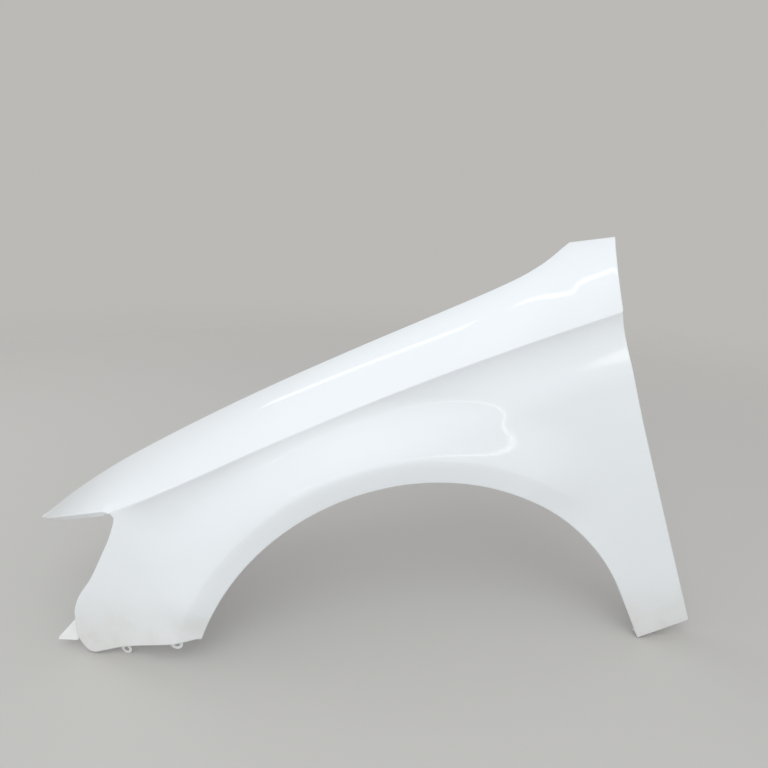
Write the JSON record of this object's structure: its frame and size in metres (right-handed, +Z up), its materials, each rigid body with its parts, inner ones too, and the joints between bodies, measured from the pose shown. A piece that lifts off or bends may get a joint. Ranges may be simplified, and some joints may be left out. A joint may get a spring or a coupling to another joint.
{
  "type": "car fender",
  "caption": "Left front car fender, one pressed sheet-steel panel with wheel-arch cut-out, shoulder crease, pointed strip over the lamp notch and folded, pierced fixing flanges.",
  "frame": {"origin": "on the underside of the hood rail's bolt shelf, on the plain stretch nearest to the middle of the rail", "axes": "as on the car: +X to the rear, +Y inboard, +Z up; the painted outer face looks to -Y"},
  "size_m": [1.0083, 0.2073, 0.6401],
  "materials": {
    "painted_steel": "gloss"
  },
  "bodies": {
    "root": {"fender_panel": "painted_steel"}
  },
  "joints": []
}
